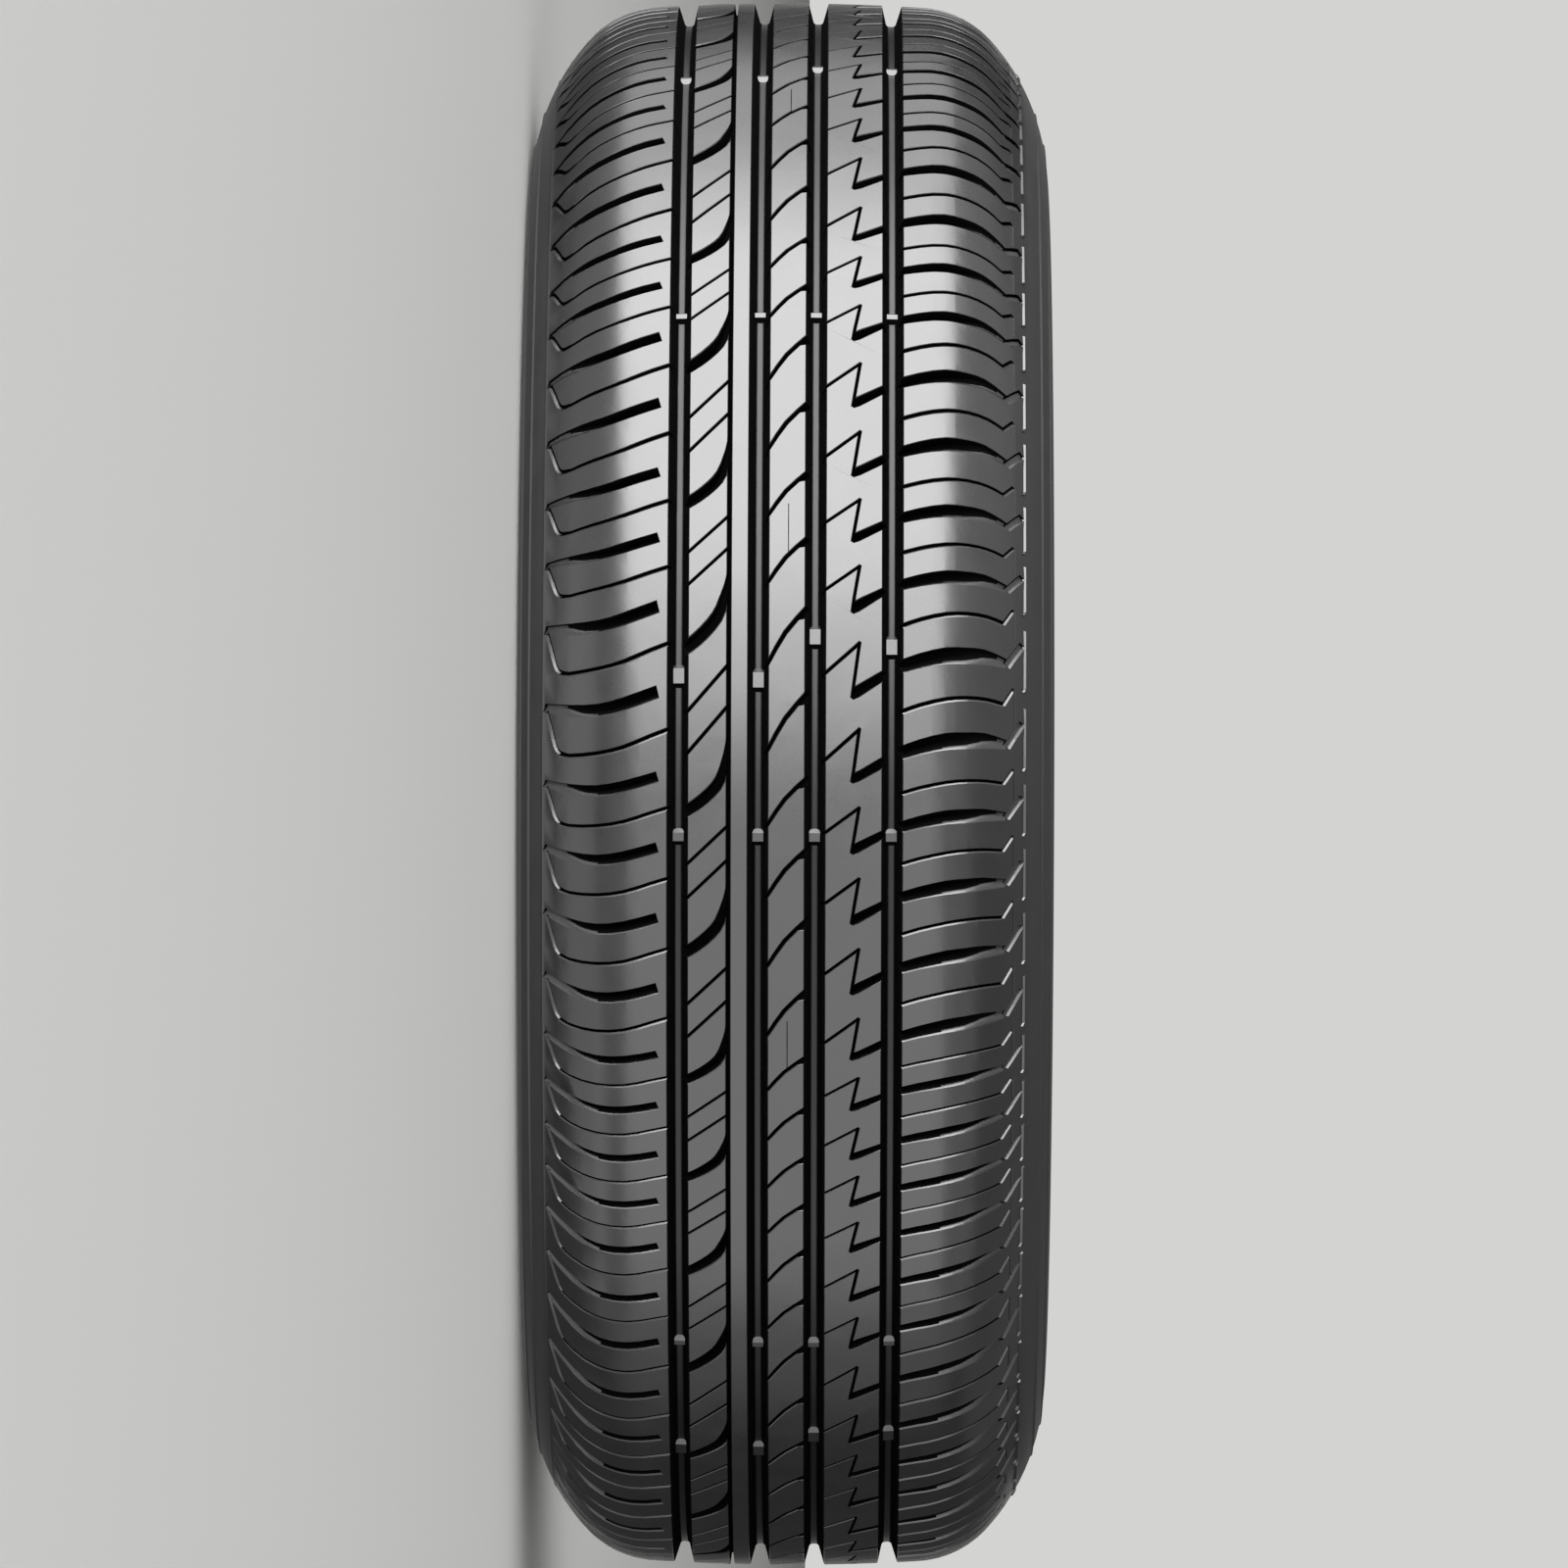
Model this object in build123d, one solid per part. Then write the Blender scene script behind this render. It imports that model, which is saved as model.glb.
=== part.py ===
"""A radial passenger-car tyre, 195 mm wide, 60 series, for a 15 inch wheel.

The tyre lies on one sidewall: Z is the spin axis and the origin is the middle of the wheel.
Lengths are in millimetres and angles in degrees. A section point is (radius, z). A plan point of the tread
is (z, share of a pitch), and shares run round the tyre, anticlockwise as seen from +Z.
"""
import os
from math import asin, cos, degrees, radians, sin, sqrt

from build123d import *

# Carcass
OVERALL_DIAMETER = 615.0
SECTION_WIDTH = 202.0
CROWN_GAUGE = 15.0  # rubber and belts between the crown and the inner liner
SHOULDER_GAUGE = 9.0
SIDEWALL_GAUGE = 6.5
LINER_HALF_WIDTH = 60.0

# Beads, as they sit on a rim 6 inches wide between its flanges
BEAD_SEAT_DIAMETER = 380.2
BEAD_SPACING = 152.4  # between the outer faces of the two beads
BEAD_WIDTH = 17.0
BEAD_FACE_HEIGHT = 10.0
BEAD_STOCK = 1.5  # left inside the seats, and bored away
TOE_RISE = 16.0
TOE_SLANT = 7.0

# Outer curve, from the middle of the tread down to the bead
CROWN_RADIUS = 850.0
CROWN_HALF_WIDTH = 52.0
SHOULDER_RADIUS = 39.5
SHOULDER_SLOPE = 48.0
SHOULDER_FACETS = 2
SIDEWALL_FACETS = 3
SIDEWALL_LAND = 7.0  # flat band at the widest place, which the tyre lies on
LOWER_RADIUS = 20.0
LOWER_TURN = 60.0
LOWER_FACETS = 2

# Grooves that run round the tyre
GROOVE_CENTRES = (-39.9, -10.1, 11.1, 39.8)
GROOVE_WIDTH = 7.6
GROOVE_FLOOR_WIDTH = 3.9
GROOVE_DEPTH = 8.2
FINE_GROOVE_CENTRE = -21.0
FINE_GROOVE_WIDTH = 1.7
FINE_GROOVE_DEPTH = 4.5

# Pitches: a pair of equal ones for each letter, in an order that keeps the tyre from humming
PITCH_LENGTHS = {"A": 20.5, "B": 24.0, "C": 26.4, "D": 29.2, "E": 32.0}
PAIR_ORDER = "BAABDBDCECCAABDCECA" * 2
FIRST_PITCH_ANGLE = -176.3
CORNER_SHARE = 0.35  # where one straight length of the ring turns into the next, clear of most slots

# Cross slots
SLOT_DEPTH = 6.5
SLOT_END_DEPTH = 2.0  # of a shoulder slot's floor, where the shoulder meets the sidewall
SHOULDER_SLOT_END = 78.0
CLOSED_SLOT_START = 47.3
CUTTER_REACH = 20.0  # how far the cutters stand above the crown

outer_radius = OVERALL_DIAMETER / 2
seat_radius = BEAD_SEAT_DIAMETER / 2
half_width = SECTION_WIDTH / 2
bead_face = BEAD_SPACING / 2


def crown(z):
    """Radius of the tread's crown at a distance from the mid-plane."""
    return outer_radius - CROWN_RADIUS + sqrt(CROWN_RADIUS**2 - z**2)


def arc_points(centre_r, centre_z, radius, first, last, count):
    """Section points on an arc after its first one, where an angle is the slope of the surface."""
    slopes = [radians(first + (last - first) * (i + 1) / count) for i in range(count)]
    return [(centre_r + radius * cos(slope), centre_z + radius * sin(slope)) for slope in slopes]


def shoulder():
    """The +Z shoulder, from the edge of the crown to the start of the sidewall."""
    slope = asin(CROWN_HALF_WIDTH / CROWN_RADIUS)
    edge_r = crown(CROWN_HALF_WIDTH)
    centre_r = edge_r - SHOULDER_RADIUS * cos(slope)
    centre_z = CROWN_HALF_WIDTH - SHOULDER_RADIUS * sin(slope)
    turn = arc_points(centre_r, centre_z, SHOULDER_RADIUS, degrees(slope), SHOULDER_SLOPE, SHOULDER_FACETS)
    return [(edge_r, CROWN_HALF_WIDTH), *turn]


def sidewall():
    """The +Z sidewall, from below the shoulder to the upper edge of its flat land."""
    top_r, top_z = shoulder()[-1]
    radius = (half_width - top_z) / (1 - sin(radians(SHOULDER_SLOPE)))
    land_r = top_r - radius * cos(radians(SHOULDER_SLOPE))
    return arc_points(land_r, half_width - radius, radius, SHOULDER_SLOPE, 90, SIDEWALL_FACETS)


def outer_side():
    """The outside of the +Z half, from the edge of the crown to the bead."""
    low_r = sidewall()[-1][0] - SIDEWALL_LAND
    lower = arc_points(low_r, half_width - LOWER_RADIUS, LOWER_RADIUS, 90, 90 + LOWER_TURN, LOWER_FACETS)
    bead = [(seat_radius + BEAD_FACE_HEIGHT, bead_face), (seat_radius - BEAD_STOCK, bead_face)]
    return [*shoulder(), *sidewall(), (low_r, half_width), *lower, *bead]


def inner_side():
    """The inside of the +Z half, from the toe of the bead to the inner crown."""
    toe_z = bead_face - BEAD_WIDTH
    upper_r, upper_z = sidewall()[0]
    upper_slope = radians(SHOULDER_SLOPE + (90 - SHOULDER_SLOPE) / SIDEWALL_FACETS)
    return [
        (seat_radius - BEAD_STOCK, toe_z),
        (seat_radius + TOE_RISE, toe_z + TOE_SLANT),
        (sidewall()[-1][0], half_width - SIDEWALL_GAUGE),
        (upper_r - SHOULDER_GAUGE * cos(upper_slope), upper_z - SHOULDER_GAUGE * sin(upper_slope)),
        (outer_radius - CROWN_GAUGE, LINER_HALF_WIDTH),
    ]


def tread():
    """The crown from -Z to +Z, with the main grooves and the fine one."""
    grooves = {z: (GROOVE_WIDTH / 2, GROOVE_FLOOR_WIDTH / 2, GROOVE_DEPTH) for z in GROOVE_CENTRES}
    grooves[FINE_GROOVE_CENTRE] = (FINE_GROOVE_WIDTH / 2, 0, FINE_GROOVE_DEPTH)
    points = []
    for z, (edge, floor, depth) in sorted(grooves.items()):
        floor_r = crown(z) - depth
        bottom = [(floor_r, z - floor), (floor_r, z + floor)] if floor else [(floor_r, z)]
        points += [(crown(z - edge), z - edge), *bottom, (crown(z + edge), z + edge)]
    return points


def mirrored(points):
    """The same section points on the -Z half, in the opposite order."""
    return [(r, -z) for r, z in reversed(points)]


def pitch_angle(letter):
    """The angle that one pitch takes, with all of them filling the circle."""
    return 360 * PITCH_LENGTHS[letter] / sum(2 * PITCH_LENGTHS[each] for each in PAIR_ORDER)


def pitches():
    """Letter, start and place in its pair, 0 or 1, of each pitch round the tyre."""
    start = FIRST_PITCH_ANGLE
    for letter in PAIR_ORDER:
        for place in range(2):
            yield letter, start, place
            start += pitch_angle(letter)


def ring():
    """The section swept round a ring of straight lengths, one to a pitch, and bored for the rim."""
    corners = [radians(start + CORNER_SHARE * pitch_angle(letter)) for letter, start, _ in pitches()]
    path = Polyline(*[(outer_radius * cos(a), outer_radius * sin(a)) for a in corners], close=True)
    outwards = (cos(corners[0]), sin(corners[0]), 0)
    backwards = (sin(corners[0]), -cos(corners[0]), 0)
    half = outer_side() + inner_side()
    outline = Polyline(*tread(), *half, *mirrored(half), close=True)
    section = Plane(origin=(0, 0, 0), x_dir=outwards, z_dir=backwards) * make_face(outline.edges())
    return sweep(section, path=path, transition=Transition.RIGHT) - Cylinder(seat_radius, SECTION_WIDTH)


def cutter(plan, floor, letter):
    """A slot in the pitch that starts on +X: its plan, run outwards from a floor that is a section line."""
    angle = pitch_angle(letter)
    arc = radians(angle) * outer_radius
    top = outer_radius + CUTTER_REACH
    shares = [share for _, share in plan]
    middle = (min(shares) + max(shares)) / 2
    outline = Polyline(*[((share - middle) * arc, z) for z, share in plan], close=True)
    side = Polyline((top, floor[0][1]), *floor, (top, floor[-1][1]), close=True)
    prism = extrude(Plane.YZ * make_face(outline.edges()), top)
    slab = extrude(Plane.XZ * make_face(side.edges()), arc, both=True)
    return Rot(0, 0, middle * angle) * (prism & slab)


def shoulder_floor(start_z, side):
    """Floor of a slot on a shoulder, which gets shallow towards the sidewall."""
    end_r, end_z = shoulder()[-1]
    return [(crown(start_z) - SLOT_DEPTH, side * start_z), (end_r - SLOT_END_DEPTH, side * end_z)]


# Slots bend where the shoulder does, and open slots run out over the middle of the groove beside them
first_groove, last_groove = GROOVE_CENTRES[0], GROOVE_CENTRES[-1]
bend_z = shoulder()[1][1]
closed_shoulder_slot = [
    (-CLOSED_SLOT_START, -0.07),
    (-bend_z, 0.12),
    (-SHOULDER_SLOT_END, 0.12),
    (-bend_z, 0.245),
    (-CLOSED_SLOT_START, 0.065),
]
open_shoulder_slot = [
    (last_groove, 0.634),
    (bend_z, 0.438),
    (SHOULDER_SLOT_END, 0.50),
    (bend_z, 0.564),
    (last_groove, 0.769),
]
zigzag_slot = [
    (24.2, 1.125),
    (25.6, 0.958),
    (last_groove, 0.689),
    (last_groove, 0.805),
]
curved_slot = [
    (first_groove, 0.43),
    (-28.5, 0.10),
    (FINE_GROOVE_CENTRE, -0.40),
    (FINE_GROOVE_CENTRE, -0.03),
    (-26.5, 0.24),
    (first_groove, 0.62),
]
rib_floor_r = crown(last_groove) - SLOT_DEPTH
rib_floor = [(rib_floor_r, -half_width), (rib_floor_r, half_width)]

pair_cutters = {letter: cutter(curved_slot, rib_floor, letter) for letter in PITCH_LENGTHS}
pitch_cutters = {
    letter: [
        cutter(closed_shoulder_slot, shoulder_floor(CLOSED_SLOT_START, -1), letter),
        cutter(open_shoulder_slot, shoulder_floor(last_groove, 1), letter),
        cutter(zigzag_slot, rib_floor, letter),
    ]
    for letter in PITCH_LENGTHS
}
slots = []
for letter, start, place in pitches():
    slots += [Rot(0, 0, start) * each for each in pitch_cutters[letter]]
    if place == 0:
        slots.append(Rot(0, 0, start) * pair_cutters[letter])

tyre = ring() - slots
tyre.label = "tyre"

os.makedirs("parts", exist_ok=True)
export_step(tyre, "parts/tyre.step")
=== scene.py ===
from math import asin, atan2, cos, pi, radians, sin

import bmesh
import bpy
from mathutils import Matrix, Vector


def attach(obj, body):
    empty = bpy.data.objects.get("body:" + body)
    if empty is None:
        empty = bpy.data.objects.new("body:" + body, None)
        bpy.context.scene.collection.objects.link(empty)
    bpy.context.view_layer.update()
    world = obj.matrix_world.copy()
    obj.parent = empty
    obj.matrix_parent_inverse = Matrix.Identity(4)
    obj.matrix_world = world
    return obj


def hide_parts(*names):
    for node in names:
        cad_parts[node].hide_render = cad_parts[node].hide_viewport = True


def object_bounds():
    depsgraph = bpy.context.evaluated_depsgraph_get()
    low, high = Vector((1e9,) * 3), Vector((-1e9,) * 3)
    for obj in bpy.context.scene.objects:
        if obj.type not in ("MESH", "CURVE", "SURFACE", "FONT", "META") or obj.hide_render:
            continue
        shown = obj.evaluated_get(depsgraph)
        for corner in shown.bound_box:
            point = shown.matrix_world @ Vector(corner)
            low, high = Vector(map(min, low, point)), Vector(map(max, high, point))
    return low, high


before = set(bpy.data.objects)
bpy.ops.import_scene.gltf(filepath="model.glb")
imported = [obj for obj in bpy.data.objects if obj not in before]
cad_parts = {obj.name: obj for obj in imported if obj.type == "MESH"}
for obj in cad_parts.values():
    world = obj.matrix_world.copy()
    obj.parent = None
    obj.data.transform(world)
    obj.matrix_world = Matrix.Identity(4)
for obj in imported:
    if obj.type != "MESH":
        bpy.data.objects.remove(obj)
cad_low, cad_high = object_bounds()


# Tread: the face that meets the road, black rubber pressed into a ring of steel mould segments. It is worked
# out flat and in millimetres: across the tyre, along its circumference, and height above the crown. One pair
# of pitches is cut there, each slot by a blade of its own section, as the blades of the mould press it.
MM = 0.001
PITCH = 26.4  # the middle one of five lengths, in which the slots are drawn
PAIR = 2 * PITCH
PAIR_START = -2.6  # the line between two pairs, where it crosses the fewest slots
TREAD_EDGE = 91.0
SLAB = 12.0  # more than the deepest groove
RIDGE_CENTRE = 90.4
RIDGE_WIDTH = 0.8
RIDGE_HEIGHT = 0.35
GROOVE_CENTRES = (-39.9, -10.1, 11.1, 39.8)
GROOVE_WIDTH = 7.6
GROOVE_DEPTH = 8.2
FINE_GROOVE_CENTRE = -21.0
FINE_GROOVE_WIDTH = 1.6
FINE_GROOVE_DEPTH = 4.5
STRIPS = 5  # cut across a pair, so that it bends round the tyre
SHOULDER_FIRST = 54.0  # first of the cuts along a shoulder, so that it turns in a round
SHOULDER_STEP = 4.5
SHOULDER_COUNT = 8
NEAR = 0.001  # a point this close to a line lies on it
SLACK = 0.01  # a wider margin, for heights and seams
WELD = 0.005  # points this close become one
ACROSS, ALONG = Vector((1, 0, 0)), Vector((0, 1, 0))


def both_sides(half):
    """A section's outline from its +side half: (share of the half width, share of the depth)."""
    return [*half, *[(-side, height) for side, height in reversed(half)]]


# Each section stands above the crown and flares at the mouth. On the shoulders the mould draws out at a
# slant, so that one side of a slot there is steep and the other, on the +side of its line, slopes.
groove_section = both_sides([
    (1.08, 0.2), (1.08, 0.0), (1.0, -0.04), (0.50, -0.90), (0.42, -0.955), (0.31, -0.985), (0.16, -1.0),
])
fine_section = both_sides([(1.3, 0.2), (1.3, 0.0), (1.0, -0.06), (0.4, -1.0)])
slot_section = both_sides([(1.17, 0.2), (1.17, 0.0), (1.0, -0.05), (0.66, -1.0)])
thin_section = both_sides([(1.4, 0.2), (1.4, 0.0), (1.0, -0.05), (0.8, -1.0)])
ramp_section = [
    (1.3, 0.2), (1.3, 0.0), (1.04, -0.08), (0.4, -0.5), (-0.3, -1.0), (-0.85, -1.0), (-1.0, -0.04),
    (-1.08, 0.0), (-1.08, 0.2),
]
sipe_section = [
    (2.1, 0.2), (2.1, 0.0), (1.05, -0.1), (0.8, -1.0), (-0.8, -1.0), (-1.0, -0.05), (-1.3, 0.0), (-1.3, 0.2),
]
channel_section = [
    (1.25, 0.2), (1.25, 0.0), (0.75, -0.55), (-0.4, -0.7), (-0.5, -1.0), (-0.85, -1.0), (-1.0, 0.0),
    (-1.0, 0.2),
]
tail_section = [
    (1.25, 0.2), (1.25, 0.0), (0.45, -0.46), (0.4, -1.0), (-0.8, -1.0), (-1.0, 0.0), (-1.0, 0.2),
]

# Slots of one pitch: a section, the steps between two points, and points of (across, along, width, depth)
pitch_slots = [
    # closed slot on the inner shoulder, from its shallow end inwards
    (ramp_section, 2, [
        (-89.9, 2.5, 2.4, 1.0), (-80, 4.7, 3.4, 1.35), (-70, 5.2, 3.6, 4.6), (-60, 3.55, 3.6, 6.3),
        (-47.3, -0.1, 3.5, 6.5),
    ]),
    # thin sipe beside it, and the tail that turns up along the edge of the tread
    (sipe_section, 2, [
        (-84.2, 18.3, 1.1, 1.4), (-80.3, 19.2, 1.1, 2.2), (-70, 18.7, 1.1, 4.0), (-60, 16.9, 1.1, 5.0),
        (-50, 13.6, 1.1, 5.0), (-42, 11.1, 1.1, 5.0),
    ]),
    (tail_section, 2, [
        (-89.0, 4.0, 1.3, 1.4), (-87.1, 10.5, 1.3, 1.6), (-85.6, 15.7, 1.3, 1.7), (-84.0, 18.0, 1.3, 1.7),
        (-81.2, 19.0, 1.1, 1.7),
    ]),
    # curved slot of the middle rib, and the notch at its end
    (thin_section, 2, [
        (-8.0, 20.0, 1.1, 6.0), (-6.0, 17.1, 1.2, 6.0), (0.0, 8.3, 1.4, 6.0), (8.6, 0.0, 1.4, 6.0),
    ]),
    (slot_section, 1, [(3.9, 4.5, 0.3, 2.0), (9.0, 1.5, 4.6, 6.0)]),
    # zigzag: two thin legs and a wide one
    (thin_section, 1, [(13.0, 22.1, 1.0, 5.5), (27.9, 11.2, 1.0, 5.5)]),
    (thin_section, 1, [(27.6, 11.0, 1.0, 5.5), (24.7, 28.4, 1.0, 5.5)]),
    (slot_section, 1, [(24.85, 28.7, 0.7, 6.5), (26.4, 26.5, 3.4, 6.5), (38.5, 20.3, 2.8, 6.5)]),
    # open slot on the outer shoulder, and its tail across the edge of the tread
    (ramp_section, 2, [
        (41.0, 19.0, 3.5, 6.5), (50, 16.5, 4.0, 6.4), (60, 14.65, 4.5, 5.6), (67, 14.3, 4.6, 3.9),
        (74, 14.1, 4.3, 1.8), (82.0, 15.1, 2.8, 1.0),
    ]),
    (channel_section, 1, [(82.3, 15.9, 2.4, 1.5), (88.2, 7.6, 2.2, 1.5)]),
    # thin sipe beside it, with a hook
    (sipe_section, 2, [
        (42.0, 6.3, 1.1, 5.0), (50, 3.9, 1.1, 5.0), (60, 1.9, 1.1, 4.5), (68, 1.2, 1.1, 3.5),
        (75, 1.3, 1.1, 2.5), (81.3, 2.2, 1.1, 1.5),
    ]),
    (tail_section, 1, [(81.0, 2.5, 1.2, 1.6), (84.9, -3.3, 1.1, 1.4)]),
    # shallow line along the edge of the tread
    (tail_section, 1, [(85.2, 9.0, 0.7, 0.45), (85.2, -3.0, 0.7, 0.45)]),
]
# Slots of a pair, on the second rib
pair_slots = [
    (slot_section, 2, [
        (-38.4, 13.9, 4.2, 6.5), (-33, 10.5, 4.2, 6.5), (-27.5, 5.8, 4.2, 6.5), (-23.9, 0.8, 3.8, 5.5),
        (-22.0, -7.5, 1.6, 4.5), (-21.4, -12.5, 0.8, 4.5),
    ]),
    (thin_section, 1, [(-38.0, 34.2, 1.0, 5.5), (-21.0, 18.0, 1.0, 5.5)]),
    (thin_section, 1, [(-38.0, 46.9, 1.0, 5.5), (-21.0, 30.6, 1.0, 5.5)]),
]


def rounded(points, steps):
    """A smooth line through the points, with a number of steps from each one to the next."""
    points = [Vector(point) for point in points]
    run = [2 * points[0] - points[1], *points, 2 * points[-1] - points[-2]]
    line = []
    for a, b, c, d in zip(run, run[1:], run[2:], run[3:]):
        for step in range(steps):
            t = step / steps
            bend = (c - a) * t + (2 * a - 5 * b + 4 * c - d) * t**2 + (3 * b - a - 3 * c + d) * t**3
            line.append(b + bend / 2)
    return [*line, points[-1]]


def blade(cutters, section, line):
    """Adds a closed bar with a slot's section, pushed along the slot's line."""
    places = []
    for i, (across, along, width, depth) in enumerate(line):
        heading = (line[min(i + 1, len(line) - 1)] - line[max(i - 1, 0)]).xy.normalized()
        places.append(Matrix((
            (-heading.y * width / 2, heading.x, 0, across),
            (heading.x * width / 2, heading.y, 0, along),
            (0, 0, depth, 0),
            (0, 0, 0, 1),
        )))
    corners = [places[0] @ Vector((side, 0, height)) for side, height in section]
    face = cutters.faces.new([cutters.verts.new(corner) for corner in corners])
    for here, there in zip(places, places[1:]):
        pushed = bmesh.ops.extrude_face_region(cutters, geom=[face])["geom"]
        if here is not places[0]:
            cutters.faces.remove(face)
        face = next(part for part in pushed if isinstance(part, bmesh.types.BMFace))
        bmesh.ops.transform(cutters, matrix=there @ here.inverted(), verts=face.verts[:])


def everything(bm):
    """All the points, edges and faces of a mesh."""
    return bm.verts[:] + bm.edges[:] + bm.faces[:]


def score(bm, direction, places):
    """Cuts a line into the whole mesh at each place along a direction."""
    for place in places:
        bmesh.ops.bisect_plane(
            bm, geom=everything(bm), dist=NEAR, plane_co=direction * place, plane_no=direction,
        )


def finished(bm, name):
    """An object with the mesh, in the scene."""
    mesh = bpy.data.meshes.new(name)
    bm.to_mesh(mesh)
    bm.free()
    piece = bpy.data.objects.new(name, mesh)
    bpy.context.scene.collection.objects.link(piece)
    return piece


cutters = bmesh.new()
for section, steps, points in pitch_slots:
    for place in (0, PITCH):
        blade(cutters, section, [point + Vector((0, place, 0, 0)) for point in rounded(points, steps)])
for section, steps, points in pair_slots:
    blade(cutters, section, rounded(points, steps))
one_pair = everything(cutters)
for shift in (-PAIR, PAIR):
    copy = bmesh.ops.duplicate(cutters, geom=one_pair)["geom"]
    moved = [part for part in copy if isinstance(part, bmesh.types.BMVert)]
    bmesh.ops.translate(cutters, vec=ALONG * shift, verts=moved)
groove_ends = (-1.5 * PAIR, 1.5 * PAIR)  # past both ends of the slab
for centre in GROOVE_CENTRES:
    line = [Vector((centre, along, GROOVE_WIDTH, GROOVE_DEPTH)) for along in groove_ends]
    blade(cutters, groove_section, line)
fine_size = (FINE_GROOVE_WIDTH, FINE_GROOVE_DEPTH)
blade(cutters, fine_section, [Vector((FINE_GROOVE_CENTRE, along, *fine_size)) for along in groove_ends])
bmesh.ops.recalc_face_normals(cutters, faces=cutters.faces)

slab = bmesh.new()
slab_place = Matrix.Translation((0, PAIR_START + PAIR / 2, -SLAB / 2))
slab_size = Matrix.Diagonal((2 * TREAD_EDGE, PAIR, SLAB, 1))
bmesh.ops.create_cube(slab, size=1, matrix=slab_place @ slab_size)
ridge_lines = [RIDGE_CENTRE - RIDGE_WIDTH / 2, RIDGE_CENTRE, RIDGE_CENTRE + RIDGE_WIDTH / 2]
score(slab, -ACROSS, ridge_lines)
crests = [vert for vert in slab.verts if abs(vert.co.x + RIDGE_CENTRE) < SLACK and vert.co.z > -SLACK]
bmesh.ops.translate(slab, vec=(0, 0, RIDGE_HEIGHT), verts=crests)
along_lines = [PAIR_START + i * PAIR / STRIPS for i in range(1, STRIPS)]
score(slab, ACROSS, [*GROOVE_CENTRES, FINE_GROOVE_CENTRE])
score(slab, ALONG, along_lines)

slab_piece = finished(slab, "tread_slab")
cutter_piece = finished(cutters, "tread_blades")
press = slab_piece.modifiers.new("press", "BOOLEAN")
press.object = cutter_piece
press.operation = "DIFFERENCE"
press.solver = "EXACT"
press.use_self = True  # the blades run into each other
pressed = bpy.data.meshes.new_from_object(slab_piece.evaluated_get(bpy.context.evaluated_depsgraph_get()))
for block in (slab_piece, cutter_piece):
    bpy.data.objects.remove(block)

# Only the face with its slots is kept of the slab
pair = bmesh.new()
pair.from_mesh(pressed)
limits = [(0, -TREAD_EDGE), (0, TREAD_EDGE), (1, PAIR_START), (1, PAIR_START + PAIR), (2, -SLAB)]
cut_faces = [
    face for face in pair.faces
    if any(all(abs(vert.co[axis] - place) < NEAR for vert in face.verts) for axis, place in limits)
]
bmesh.ops.delete(pair, geom=cut_faces, context="FACES")
shoulder_lines = [SHOULDER_FIRST + SHOULDER_STEP * i for i in range(SHOULDER_COUNT)]
for side in (-1, 1):
    score(pair, ACROSS * side, shoulder_lines)
RIB_CREST = (0.96, 0.3, 1)  # what the crest of a rib keeps of its length, width and height


def rib(bm, start, end, width, height):
    """Adds a low bar with a narrow crest, from one point of the tread to another."""
    run = Vector((*end, 0)) - Vector((*start, 0))
    turn = Matrix.Rotation(atan2(run.y, run.x), 4, "Z")
    place = Matrix.Translation((Vector((*start, 0)) + Vector((*end, 0))) / 2) @ turn
    bar_size = Matrix.Diagonal((run.length, width, 2 * height, 1))
    bar = bmesh.ops.create_cube(bm, size=1, matrix=place @ bar_size)["verts"]
    crest = [vert for vert in bar if vert.co.z > 0]
    bmesh.ops.scale(bm, vec=RIB_CREST, space=place.inverted(), verts=crest)
    return {face for vert in bar for face in vert.link_faces}


# A rib along the outer edge in each pitch, and its short turned end, as start, end, width and height
EDGE_RIBS = [((89.4, 2.4), (89.4, 22.6), 1.3, 0.55), ((89.6, 22.1), (88.7, 23.8), 1.0, 0.5)]
for place in (0, PITCH):
    for (from_across, from_along), (to_across, to_along), width, height in EDGE_RIBS:
        rib(pair, (from_across, from_along + place), (to_across, to_along + place), width, height)
score(pair, ALONG, along_lines)
# The slots are matt and painted near-black, as shade, on their steep sides and where they are deep, and the
# floors of the main grooves have a darker finish of their own, also painted shade. On the shoulders the slots
# are cut along the depth where matt begins. Each point keeps its depth, for the rubber's fade from gloss to
# matt and to painted shade, and the mouths of the slots stay sharp.
GLOSS, SHADED_MATT, SHADED_FLOOR = 0, 1, 2  # places of the rubber's finishes among the tyre's materials; the last two are painted darker, as shade
MATT_BELOW = 1.2  # depth, for any face
STEEP_BELOW = 0.6  # depth, for a steep face
STEEP = 0.5  # upward share of a normal, under which its face is steep
FLOOR_FROM = 8.0  # depth of the floors of the main grooves
SLOPED_FROM = 56.0  # across the tyre, where the slots of the shoulders start to get shallow
pair.normal_update()
sloped = [
    face for face in pair.faces
    if face.normal.z > STEEP and abs(face.calc_center_median().x) > SLOPED_FROM
]
sloped_parts = dict.fromkeys(part for face in sloped for part in (*face.verts, *face.edges, face))
bmesh.ops.bisect_plane(
    pair, geom=list(sloped_parts), dist=NEAR, plane_co=(0, 0, -MATT_BELOW), plane_no=(0, 0, 1),
)
pair.normal_update()
depth = pair.verts.layers.float.new("depth")
for vert in pair.verts:
    vert[depth] = -vert.co.z
for face in pair.faces:
    depths = [-vert.co.z for vert in face.verts]
    steep = face.normal.z < STEEP and max(depths) > STEEP_BELOW
    if min(depths) > FLOOR_FROM:
        face.material_index = SHADED_FLOOR
    elif steep or max(depths) > MATT_BELOW + SLACK:
        face.material_index = SHADED_MATT
for edge in pair.edges:
    level = all(abs(vert.co.z) < NEAR for vert in edge.verts)
    edge.smooth = not (level and any(vert.co.z < -SLACK for face in edge.link_faces for vert in face.verts))
pair_mesh = bpy.data.meshes.new("tread_pair")
pair.to_mesh(pair_mesh)
pair.free()

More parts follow.
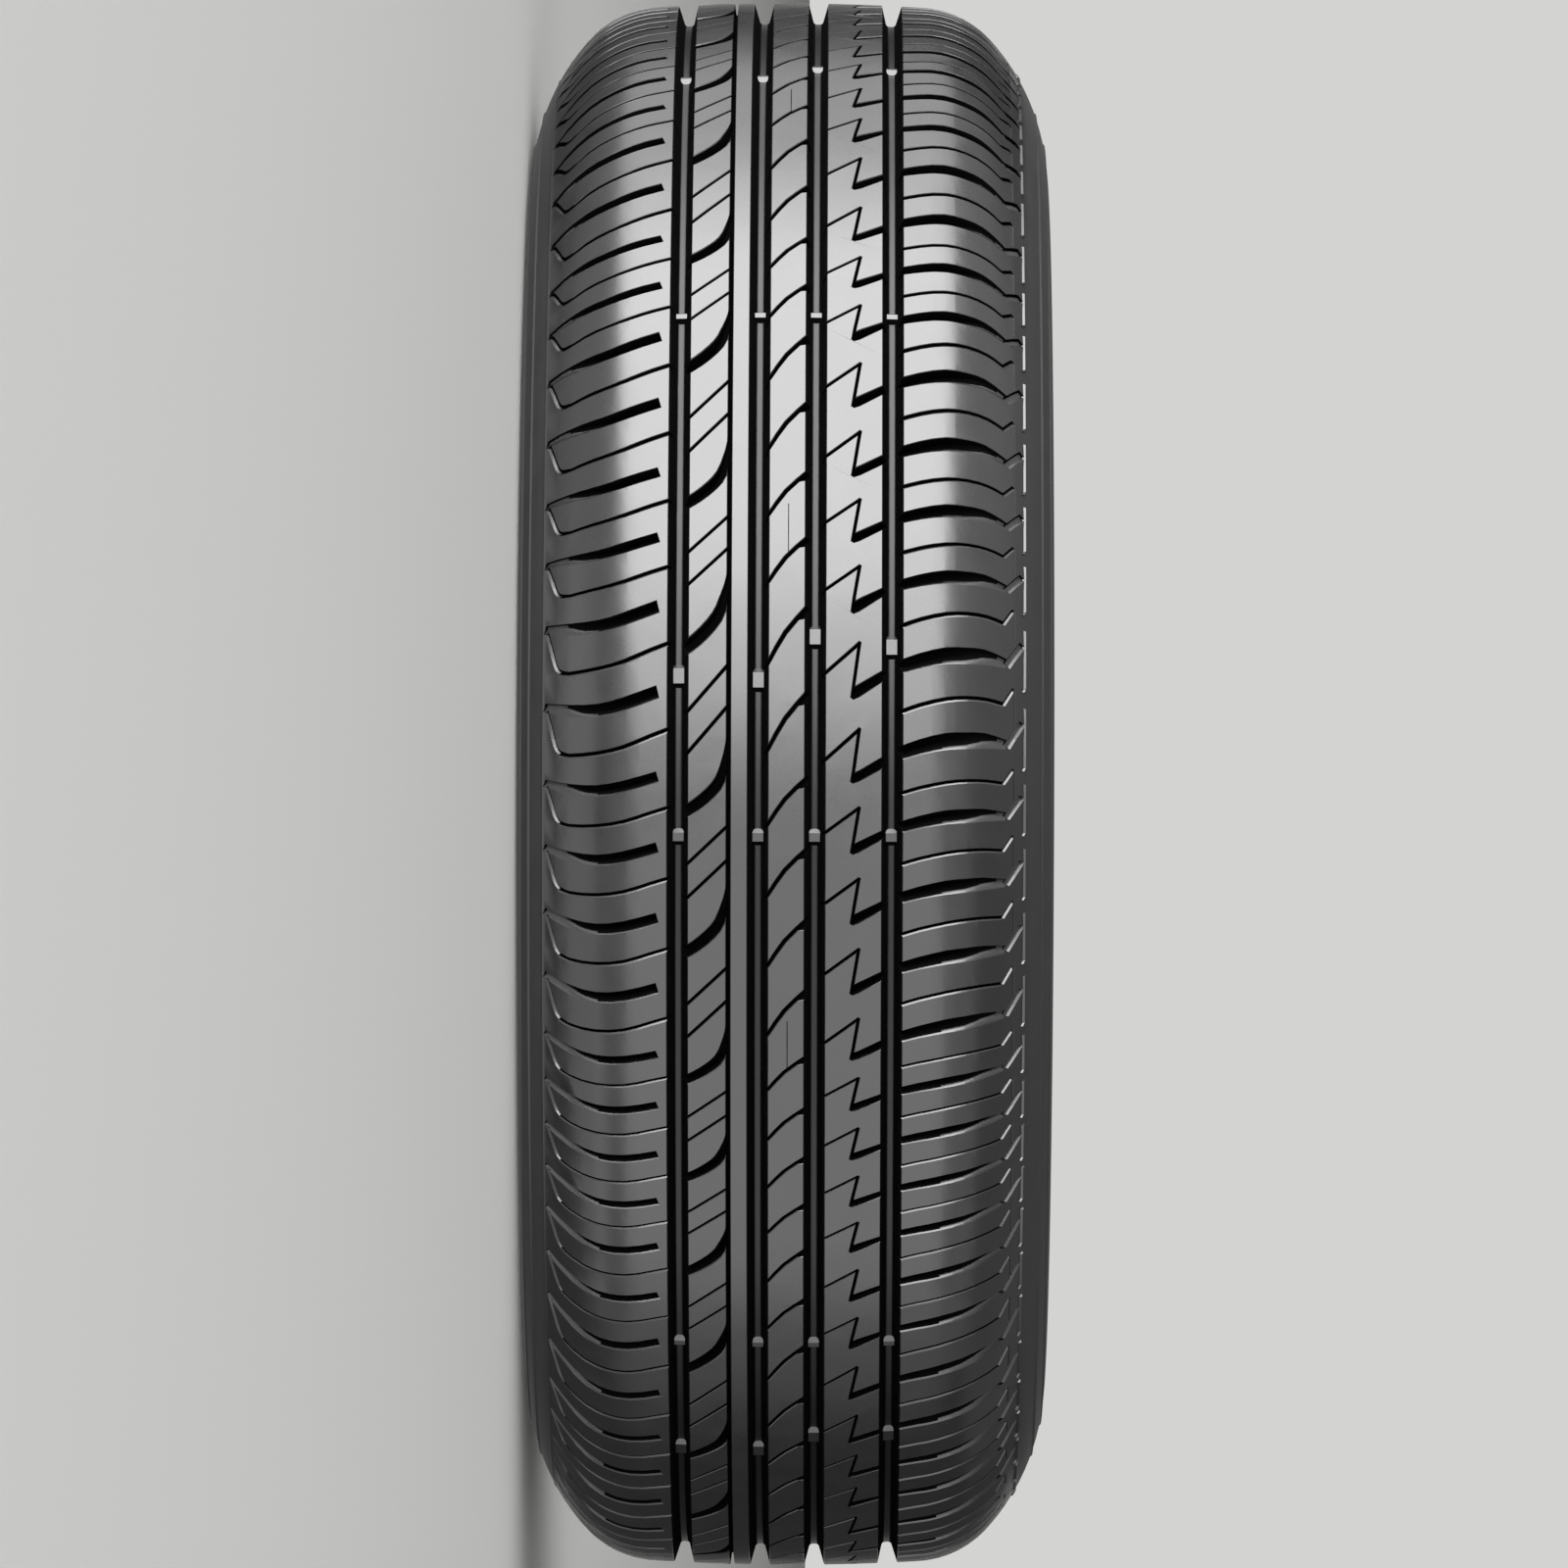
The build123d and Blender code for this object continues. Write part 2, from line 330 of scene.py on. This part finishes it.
# The pairs follow each other in five lengths, in an uneven order that keeps the tyre from humming
PITCH_LENGTHS = {"A": 20.5, "B": 24.0, "C": 26.4, "D": 29.2, "E": 32.0}
PAIR_ORDER = "BAABDBDCECCAABDCECA" * 2
FIRST_PITCH_ANGLE = radians(-176.3)
outer_radius = min(cad_high.x, cad_high.y, -cad_low.x, -cad_low.y) / MM
lengths = [2 * PITCH_LENGTHS[letter] for letter in PAIR_ORDER]
fill = 2 * pi * outer_radius / sum(lengths)
lengths = [length * fill for length in lengths]
offset = PAIR_START / PAIR
tyre = bmesh.new()
laid = 0
for length, following in zip(lengths, [*lengths[1:], lengths[0]]):
    start = laid + offset * length
    end = laid + length + offset * following
    stretch = Matrix.Diagonal((1, (end - start) / PAIR, 1, 1))
    copy = pair_mesh.copy()
    copy.transform(Matrix.Translation(ALONG * start) @ stretch @ Matrix.Translation(ALONG * -PAIR_START))
    tyre.from_mesh(copy)
    bpy.data.meshes.remove(copy)
    laid += length
bmesh.ops.remove_doubles(tyre, verts=tyre.verts, dist=WELD)


# Wear bars: low humps in the main grooves, which come level with the ribs when the tread is worn out.
# They are moulded with the tread, with a slope at each end, and run into the walls of the groove.
BAR_SLOPE = 2.0
BAR_WIDTH = 4.8
BAR_TOP_WIDTH = 4.0
BAR_HEIGHT = 1.6
BAR_ROOT = 0.4  # below the floor of the groove
# Length, finish of the far end (the near-black one paints shade on that slope), and places round the tyre in
# degrees from the first pitch, one a groove
BARS = [
    (5.4, GLOSS, (21.0, 21.0, 19.1, 19.1)),
    (6.2, SHADED_MATT, (49.9, 49.9, 49.9, 49.9)),
    (9.8, SHADED_MATT, (77.7, 78.0, 74.9, 75.6)),
    (7.2, SHADED_MATT, (89.4, 89.4, 89.4, 89.4)),
    (6.3, SHADED_MATT, (130.5, 130.5, 130.5, 130.5)),
    (10.8, SHADED_MATT, (143.2, 143.2, 141.2, 141.2)),
]
bars = bmesh.new()
for turn in (0, 180):
    for length, end_shade_finish, places in BARS:
        bar_size = Matrix.Diagonal((BAR_WIDTH, length, BAR_HEIGHT + BAR_ROOT, 1))
        for centre, place in zip(GROOVE_CENTRES, places):
            along = radians(place + turn) * outer_radius + length / 2
            middle = Vector((centre, along, (BAR_HEIGHT - BAR_ROOT) / 2 - GROOVE_DEPTH))
            hump = bmesh.ops.create_cube(bars, size=1, matrix=Matrix.Translation(middle) @ bar_size)["verts"]
            bmesh.ops.scale(
                bars, vec=(BAR_TOP_WIDTH / BAR_WIDTH, 1 - 2 * BAR_SLOPE / length, 1),
                space=Matrix.Translation(-middle),
                verts=[vert for vert in hump if vert.co.z > middle.z],
            )
            for face in {face for vert in hump for face in vert.link_faces}:
                if face.calc_center_median().y > along + length / 4:
                    face.material_index = end_shade_finish
# Hair-thin raised lines on the middle rib, where the segments of the mould meet, painted near-black as shade.
# Each has two halves, so that it follows the round of the tyre.
LINE_PLACES = (28.3, 68.2, 104.7)  # in degrees from the first pitch
LINE_ACROSS = 1.0
LINE_LENGTH = 9.5  # of a half
LINE_LAP = 0.2
LINE_WIDTH = 0.5
LINE_HEIGHT = 0.25
for turn in (0, 180):
    for place in LINE_PLACES:
        along = radians(place + turn) * outer_radius
        for start in (along - LINE_LENGTH, along):
            end = start + LINE_LENGTH + LINE_LAP
            for face in rib(bars, (LINE_ACROSS, start), (LINE_ACROSS, end), LINE_WIDTH, LINE_HEIGHT):
                face.material_index = SHADED_MATT
bar_mesh = bpy.data.meshes.new("wear_bars")
bars.to_mesh(bar_mesh)
bars.free()
tyre.from_mesh(bar_mesh)


# Crown and shoulders: the flat tread is laid round the casing, which is nearly flat across the middle
# and turns down in a round shoulder to the sidewall.
CROWN_RADIUS = 850.0
CROWN_HALF_WIDTH = 52.0
SHOULDER_RADIUS = 39.5
SHOULDER_SLOPE = radians(48.0)
half_width = min(cad_high.z, -cad_low.z) / MM
crown_slope = asin(CROWN_HALF_WIDTH / CROWN_RADIUS)
crown_centre = (outer_radius - CROWN_RADIUS, 0)
shoulder_centre = (
    crown_centre[0] + (CROWN_RADIUS - SHOULDER_RADIUS) * cos(crown_slope),
    (CROWN_RADIUS - SHOULDER_RADIUS) * sin(crown_slope),
)
shoulder_end = shoulder_centre[1] + SHOULDER_RADIUS * sin(SHOULDER_SLOPE)
sidewall_radius = (half_width - shoulder_end) / (1 - sin(SHOULDER_SLOPE))
sidewall_centre = (
    shoulder_centre[0] + (SHOULDER_RADIUS - sidewall_radius) * cos(SHOULDER_SLOPE),
    half_width - sidewall_radius,
)


def outside(across):
    """Radius and slope of the tyre's outside at a distance from its mid-plane."""
    z = abs(across)
    if z < CROWN_HALF_WIDTH:
        centre, radius = crown_centre, CROWN_RADIUS
    elif z < shoulder_end:
        centre, radius = shoulder_centre, SHOULDER_RADIUS
    else:
        centre, radius = sidewall_centre, sidewall_radius
    slope = asin((z - centre[1]) / radius)
    return centre[0] + radius * cos(slope), slope


for vert in tyre.verts:
    across, along, height = vert.co
    radius, slope = outside(across)
    reach = radius + height * cos(slope)
    angle = FIRST_PITCH_ANGLE + along / outer_radius
    z = across + (height if across > 0 else -height) * sin(slope)
    vert.co = Vector((reach * cos(angle), reach * sin(angle), z)) * MM
# closes the ring where its ends meet
bmesh.ops.remove_doubles(tyre, verts=tyre.verts, dist=SLACK * MM)


# Sidewalls, beads and liner: thin flexing walls, thick beads that grip the rim, and an airtight lining, all
# of one moulding with the tread. The section, as points of (radius, distance from the mid-plane), is spun
# round the axis and joined to the edges of the tread.
LAND = 7.0  # flat band at the widest place
LOWER_RADIUS = 20.0
LOWER_TURNS = (0.0, 0.2, 0.4, 0.6, 0.8)  # in radians
# Shares of the turn from the edge of the tread to the widest place, and those of two fine rings on the wall
WALL_SHARES = (0.06, 0.15, 0.25, 0.35, 0.45, 0.55, 0.65, 0.75, 0.85, 0.93, 1.0)
RING_SHARES = (0.30, 0.60)
RING_HALF_SHARE = 0.02
RING_HEIGHT = 0.5
SPIN_STEPS = 144
edge_slope = outside(TREAD_EDGE)[1]
wall_shares = [(share, 0) for share in WALL_SHARES]
for share in RING_SHARES:
    wall_shares += [(share - RING_HALF_SHARE, 0), (share, RING_HEIGHT), (share + RING_HALF_SHARE, 0)]
wall = []
for share, lift in sorted(wall_shares):
    slope = edge_slope + (pi / 2 - edge_slope) * share
    wall.append((
        sidewall_centre[0] + (sidewall_radius + lift) * cos(slope),
        sidewall_centre[1] + (sidewall_radius + lift) * sin(slope),
    ))
land_radius = wall[-1][0] - LAND
lower = [
    (land_radius - LOWER_RADIUS * sin(turn), half_width - LOWER_RADIUS * (1 - cos(turn)))
    for turn in LOWER_TURNS
]
# rim line, a rib just above the rim's flange, then the bead's face, seat and toe
bead = [
    (213.2, 94.4), (212.4, 94.4), (211.6, 93.4), (206.0, 85.0), (201.5, 78.0), (198.0, 76.2),
    (193.5, 76.2), (191.6, 75.6), (190.4, 74.2), (190.1, 72.5), (190.1, 60.6), (191.0, 59.4), (196.0, 61.4),
]
liner = [
    (206.1, 66.2), (222.0, 86.0), (235.4, 94.5), (256.0, 91.0), (271.6, 82.9), (286.0, 70.0), (292.5, 55.0),
]
half = [*wall, *lower, *bead, *liner]
casing = bmesh.new()
points = [*half, *[(radius, -z) for radius, z in reversed(half)]]
verts = [casing.verts.new((radius * MM, 0, z * MM)) for radius, z in points]
edges = [casing.edges.new(ends) for ends in zip(verts, verts[1:])]
bmesh.ops.spin(
    casing, geom=verts + edges, cent=(0, 0, 0), axis=(0, 0, 1), angle=2 * pi, steps=SPIN_STEPS,
    use_merge=True,
)
casing_mesh = bpy.data.meshes.new("casing")
casing.to_mesh(casing_mesh)
casing.free()
tyre.from_mesh(casing_mesh)
for side in (-1, 1):
    rims = [edge for edge in tyre.edges if edge.is_boundary and edge.verts[0].co.z * side > 0]
    bmesh.ops.bridge_loops(tyre, edges=rims)
bmesh.ops.recalc_face_normals(tyre, faces=tyre.faces)
SHARP = radians(28)  # edges that turn by more stay sharp
for face in tyre.faces:
    face.smooth = True
for edge in tyre.edges:
    edge.smooth = edge.smooth and edge.calc_face_angle(0) < SHARP
tyre_piece = finished(tyre, "tyre_rubber")
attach(tyre_piece, "root")
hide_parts("tyre")


# Rubber: carbon-black tyre compound, cured against polished steel and dressed for the shop. It has a satin
# gloss, with soft patches where the mould's release film dried unevenly, and a fine grain.
def linear(code):
    """A colour for the shader from its sRGB hex code."""
    parts = [int(code[i:i + 2], 16) / 255 for i in (1, 3, 5)]
    return [part / 12.92 if part <= 0.04045 else ((part + 0.055) / 1.055) ** 2.4 for part in parts] + [1.0]


def add(tree, kind, settings=(), **links):
    """Adds a node with its settings, and links or sets its inputs by name."""
    new = tree.nodes.new(kind)
    for name, value in dict(settings).items():
        setattr(new, name, value)
    for name, value in links.items():
        socket = new.inputs[name.replace("_", " ")]
        if isinstance(value, bpy.types.NodeSocket):
            tree.links.new(value, socket)
        else:
            socket.default_value = value
    return new


def material(name):
    """A new material, with its node tree and its shader."""
    made = bpy.data.materials.new(name)
    made.use_nodes = True
    return made, made.node_tree, made.node_tree.nodes["Principled BSDF"]


rubber, tree, shader = material("cured_black_rubber")
place = add(tree, "ShaderNodeTexCoord").outputs["Object"]
PATCH = 14 * MM
PATCH_DETAIL = 4.0
PATCH_ROUGHNESS = 0.12  # added where a patch is dullest
GRAIN = 0.7 * MM
GRAIN_DETAIL = 2.0
GRAIN_STRENGTH = 0.25
GRAIN_DEPTH = 0.06 * MM
FADE_FROM = 0.5  # depth at which the gloss starts to fade and the painted shade to darken
SIDEWALL_FROM = 89 * MM
SIDEWALL_FULL = 92 * MM
TREAD_ROUGHNESS = 0.22
SIDEWALL_ROUGHNESS = 0.42
MATT_ROUGHNESS = 0.9
DRESSED_IOR = 1.7
FACTOR, FIRST, SECOND, MIXED = 0, 6, 7, 2  # sockets of a mix of colours
patches = add(tree, "ShaderNodeTexNoise", Vector=place, Scale=1 / PATCH, Detail=PATCH_DETAIL).outputs["Fac"]
grain = add(tree, "ShaderNodeTexNoise", Vector=place, Scale=1 / GRAIN, Detail=GRAIN_DETAIL).outputs["Fac"]
tint = add(tree, "ShaderNodeMix", {"data_type": "RGBA"})
tree.links.new(patches, tint.inputs[FACTOR])
tint.inputs[FIRST].default_value = linear("#1d1d1e")
tint.inputs[SECOND].default_value = linear("#252526")
# the gloss fades out down the shallow ends of the slots, and the colour darkens to near-black there as
# painted shade
below = add(tree, "ShaderNodeAttribute", {"attribute_name": "depth"}).outputs["Fac"]
fading = add(tree, "ShaderNodeMapRange", Value=below, From_Min=FADE_FROM, From_Max=MATT_BELOW)
fade = fading.outputs["Result"]
painted_depth_shade = add(tree, "ShaderNodeMix", {"data_type": "RGBA"})
tree.links.new(fade, painted_depth_shade.inputs[FACTOR])
tree.links.new(tint.outputs[MIXED], painted_depth_shade.inputs[FIRST])
painted_depth_shade.inputs[SECOND].default_value = linear("#0a0a0b")
# the sidewalls are duller, and painted darker as shade where they turn away from the light
across = add(tree, "ShaderNodeSeparateXYZ", Vector=place).outputs["Z"]
off_middle = add(tree, "ShaderNodeMath", {"operation": "ABSOLUTE"}, Value=across).outputs["Value"]
edging = add(tree, "ShaderNodeMapRange", Value=off_middle, From_Min=SIDEWALL_FROM, From_Max=SIDEWALL_FULL)
beside = edging.outputs["Result"]
colour = add(tree, "ShaderNodeMix", {"data_type": "RGBA"})
tree.links.new(beside, colour.inputs[FACTOR])
tree.links.new(painted_depth_shade.outputs[MIXED], colour.inputs[FIRST])
colour.inputs[SECOND].default_value = linear("#151516")
tree.links.new(colour.outputs[MIXED], shader.inputs["Base Color"])
dull = add(tree, "ShaderNodeMapRange", Value=beside, To_Min=TREAD_ROUGHNESS, To_Max=SIDEWALL_ROUGHNESS)
gloss = add(tree, "ShaderNodeMath", {"operation": "MULTIPLY_ADD"})
tree.links.new(patches, gloss.inputs[0])
gloss.inputs[1].default_value = PATCH_ROUGHNESS
tree.links.new(dull.outputs["Result"], gloss.inputs[2])
finish = add(tree, "ShaderNodeMix", {"data_type": "FLOAT"}, Factor=fade, B=MATT_ROUGHNESS)
tree.links.new(gloss.outputs["Value"], finish.inputs["A"])
tree.links.new(finish.outputs["Result"], shader.inputs["Roughness"])
bump = add(tree, "ShaderNodeBump", Height=grain, Strength=GRAIN_STRENGTH, Distance=GRAIN_DEPTH)
tree.links.new(bump.outputs["Normal"], shader.inputs["Normal"])
shader.inputs["IOR"].default_value = DRESSED_IOR
shader.inputs["Specular IOR Level"].default_value = 1.0
tyre_piece.data.materials.append(rubber)

# The same compound in the slots and grooves, painted darker than on the tread as shade in the recesses. The
# mould's blades leave the sides matt, and no dressing reaches them. It reaches the floors of the main grooves
# thinly, and leaves them with a weak satin shine.
PLAIN_IOR = 1.5


def shaded_recess_rubber(name, dark, light, roughness, specular_level):
    """Adds a finish of the compound, below the face of the tread and painted darker as shade, to the tyre's
    materials.
    """
    made, tree, shader = material(name)
    place = add(tree, "ShaderNodeTexCoord").outputs["Object"]
    patches = add(tree, "ShaderNodeTexNoise", Vector=place, Scale=1 / PATCH, Detail=PATCH_DETAIL)
    tint = add(tree, "ShaderNodeMix", {"data_type": "RGBA"})
    tree.links.new(patches.outputs["Fac"], tint.inputs[FACTOR])
    tint.inputs[FIRST].default_value = linear(dark)
    tint.inputs[SECOND].default_value = linear(light)
    tree.links.new(tint.outputs[MIXED], shader.inputs["Base Color"])
    shader.inputs["Roughness"].default_value = roughness
    shader.inputs["IOR"].default_value = PLAIN_IOR
    shader.inputs["Specular IOR Level"].default_value = specular_level
    tyre_piece.data.materials.append(made)


# the near-black of the slot walls is painted shade
shaded_recess_rubber("shaded_matt_slot_rubber", "#070708", "#0d0d0e", MATT_ROUGHNESS, 0.02)
# the darker colour of the groove floors is painted shade
shaded_recess_rubber("shaded_satin_groove_rubber", "#0d0d0e", "#151516", 0.32, 0.65)


# Studio: a pale painted floor, a large soft light above the camera as the photo has it, and weaker ones below
# the camera and overhead. The floor is seen by the camera alone, so that the light above the camera reaches
# both shoulders alike, and a weak light under it stands for what a pale floor sends back.
FLOOR_REACH = 40.0
floor_mesh = bmesh.new()
bmesh.ops.create_grid(
    floor_mesh, x_segments=1, y_segments=1, size=FLOOR_REACH, matrix=Matrix.Translation((0, 0, cad_low.z)),
)
floor = finished(floor_mesh, "floor")
floor_paint, tree, shader = material("pale_floor_paint")
shader.inputs["Base Color"].default_value = linear("#e4e4e2")
shader.inputs["Roughness"].default_value = 0.8
floor.data.materials.append(floor_paint)
floor.visible_shadow = False
floor.visible_glossy = False
floor.visible_diffuse = False


def soft_light(name, place, aim, size, radiance):
    """A rectangular light, with its power worked out from its size and its brightness."""
    lamp = bpy.data.lights.new(name, "AREA")
    lamp.shape = "RECTANGLE"
    lamp.size, lamp.size_y = size
    lamp.energy = radiance * pi * size[0] * size[1]
    piece = bpy.data.objects.new(name, lamp)
    piece.location = place
    piece.rotation_euler = (Vector(aim) - Vector(place)).to_track_quat("-Z", "Y").to_euler()
    piece.visible_camera = False
    bpy.context.scene.collection.objects.link(piece)


def from_camera(turn, distance):
    """A place at an angle from the camera's line, towards the picture's top, at the height of the tyre."""
    return -distance * sin(radians(turn)), -distance * cos(radians(turn)), 0


# Each has its place, aim and size in metres, and its brightness. Three make up the key light, which gets
# weaker towards its edges.
TYRE_MIDDLE = (0, 0, 0)
soft_light("key_light", from_camera(57, 7.5), TYRE_MIDDLE, (8.8, 9.3), 1.65)
soft_light("key_halo", from_camera(55, 7.6), TYRE_MIDDLE, (15.5, 9.5), 1.75)
soft_light("key_wide", from_camera(66, 7.7), TYRE_MIDDLE, (36.0, 10.0), 1.1)
soft_light("front_light", from_camera(-42, 10.0), TYRE_MIDDLE, (15.5, 10.5), 0.72)
soft_light("front_wide", from_camera(-42, 10.2), TYRE_MIDDLE, (35.0, 35.0), 0.26)
soft_light("low_light", (4.5, -1.2, -10.0), (4.5, -1.2, 0), (15.0, 7.5), 0.5)
soft_light("top_light", (0, 1.2, 11.0), (0, 1.2, 0), (35.0, 35.0), 0.1)

world = bpy.data.worlds.new("studio")
world.use_nodes = True
tree = world.node_tree
background = tree.nodes["Background"]
background.inputs["Color"].default_value = linear("#f0f0ee")
# A room that is lighter towards the key light, and a pale backdrop behind the tyre with a dim ring round it.
# The ranges are shares of a direction from the tyre.
DIM_ROOM = 0.06
BRIGHT_ROOM = 0.48
PALE_BACKDROP = 0.75
heading = add(tree, "ShaderNodeSeparateXYZ", Vector=add(tree, "ShaderNodeTexCoord").outputs["Generated"])
room = add(
    tree, "ShaderNodeMapRange", Value=heading.outputs["X"], From_Min=0.1, From_Max=-0.4,
    To_Min=DIM_ROOM, To_Max=BRIGHT_ROOM,
)
front = add(tree, "ShaderNodeMapRange", Value=heading.outputs["Y"], From_Min=0.8, From_Max=0.4)
lit_room = add(tree, "ShaderNodeMath", {"operation": "MULTIPLY"})
tree.links.new(room.outputs["Result"], lit_room.inputs[0])
tree.links.new(front.outputs["Result"], lit_room.inputs[1])
backdrop = add(
    tree, "ShaderNodeMapRange", Value=heading.outputs["Y"], From_Min=0.95, From_Max=0.99,
    To_Min=DIM_ROOM, To_Max=PALE_BACKDROP,
)
level = add(tree, "ShaderNodeMath", {"operation": "MAXIMUM"})
tree.links.new(lit_room.outputs["Value"], level.inputs[0])
tree.links.new(backdrop.outputs["Result"], level.inputs[1])
tree.links.new(level.outputs["Value"], background.inputs["Strength"])
bpy.context.scene.world = world


# Camera: at the photo's viewing angle, straight at the tread but for a fraction of a degree, and rolled so
# that the tyre's axis lies across the picture.
CAMERA_LENS = 293.9
CAMERA_DISTANCE = 5.05
CAMERA_AIM = Vector((0, 0, -1.74 * MM))
CAMERA_TURN = radians(-0.26)
CAMERA_LEAN = radians(-0.167)
camera = bpy.data.cameras.new("camera")
camera.lens = CAMERA_LENS
camera_piece = bpy.data.objects.new("camera", camera)
right, up, back = Vector((0, 0, 1)), Vector((-1, 0, 0)), Vector((0, -1, 0))
straight = Matrix.Translation(back * CAMERA_DISTANCE) @ Matrix((right, up, back)).transposed().to_4x4()
turned = Matrix.Rotation(CAMERA_TURN, 4, "X") @ Matrix.Rotation(CAMERA_LEAN, 4, "Y")
camera_piece.matrix_world = Matrix.Translation(CAMERA_AIM) @ turned @ straight
bpy.context.scene.collection.objects.link(camera_piece)
bpy.context.scene.camera = camera_piece
bpy.context.scene.view_settings.view_transform = "Standard"
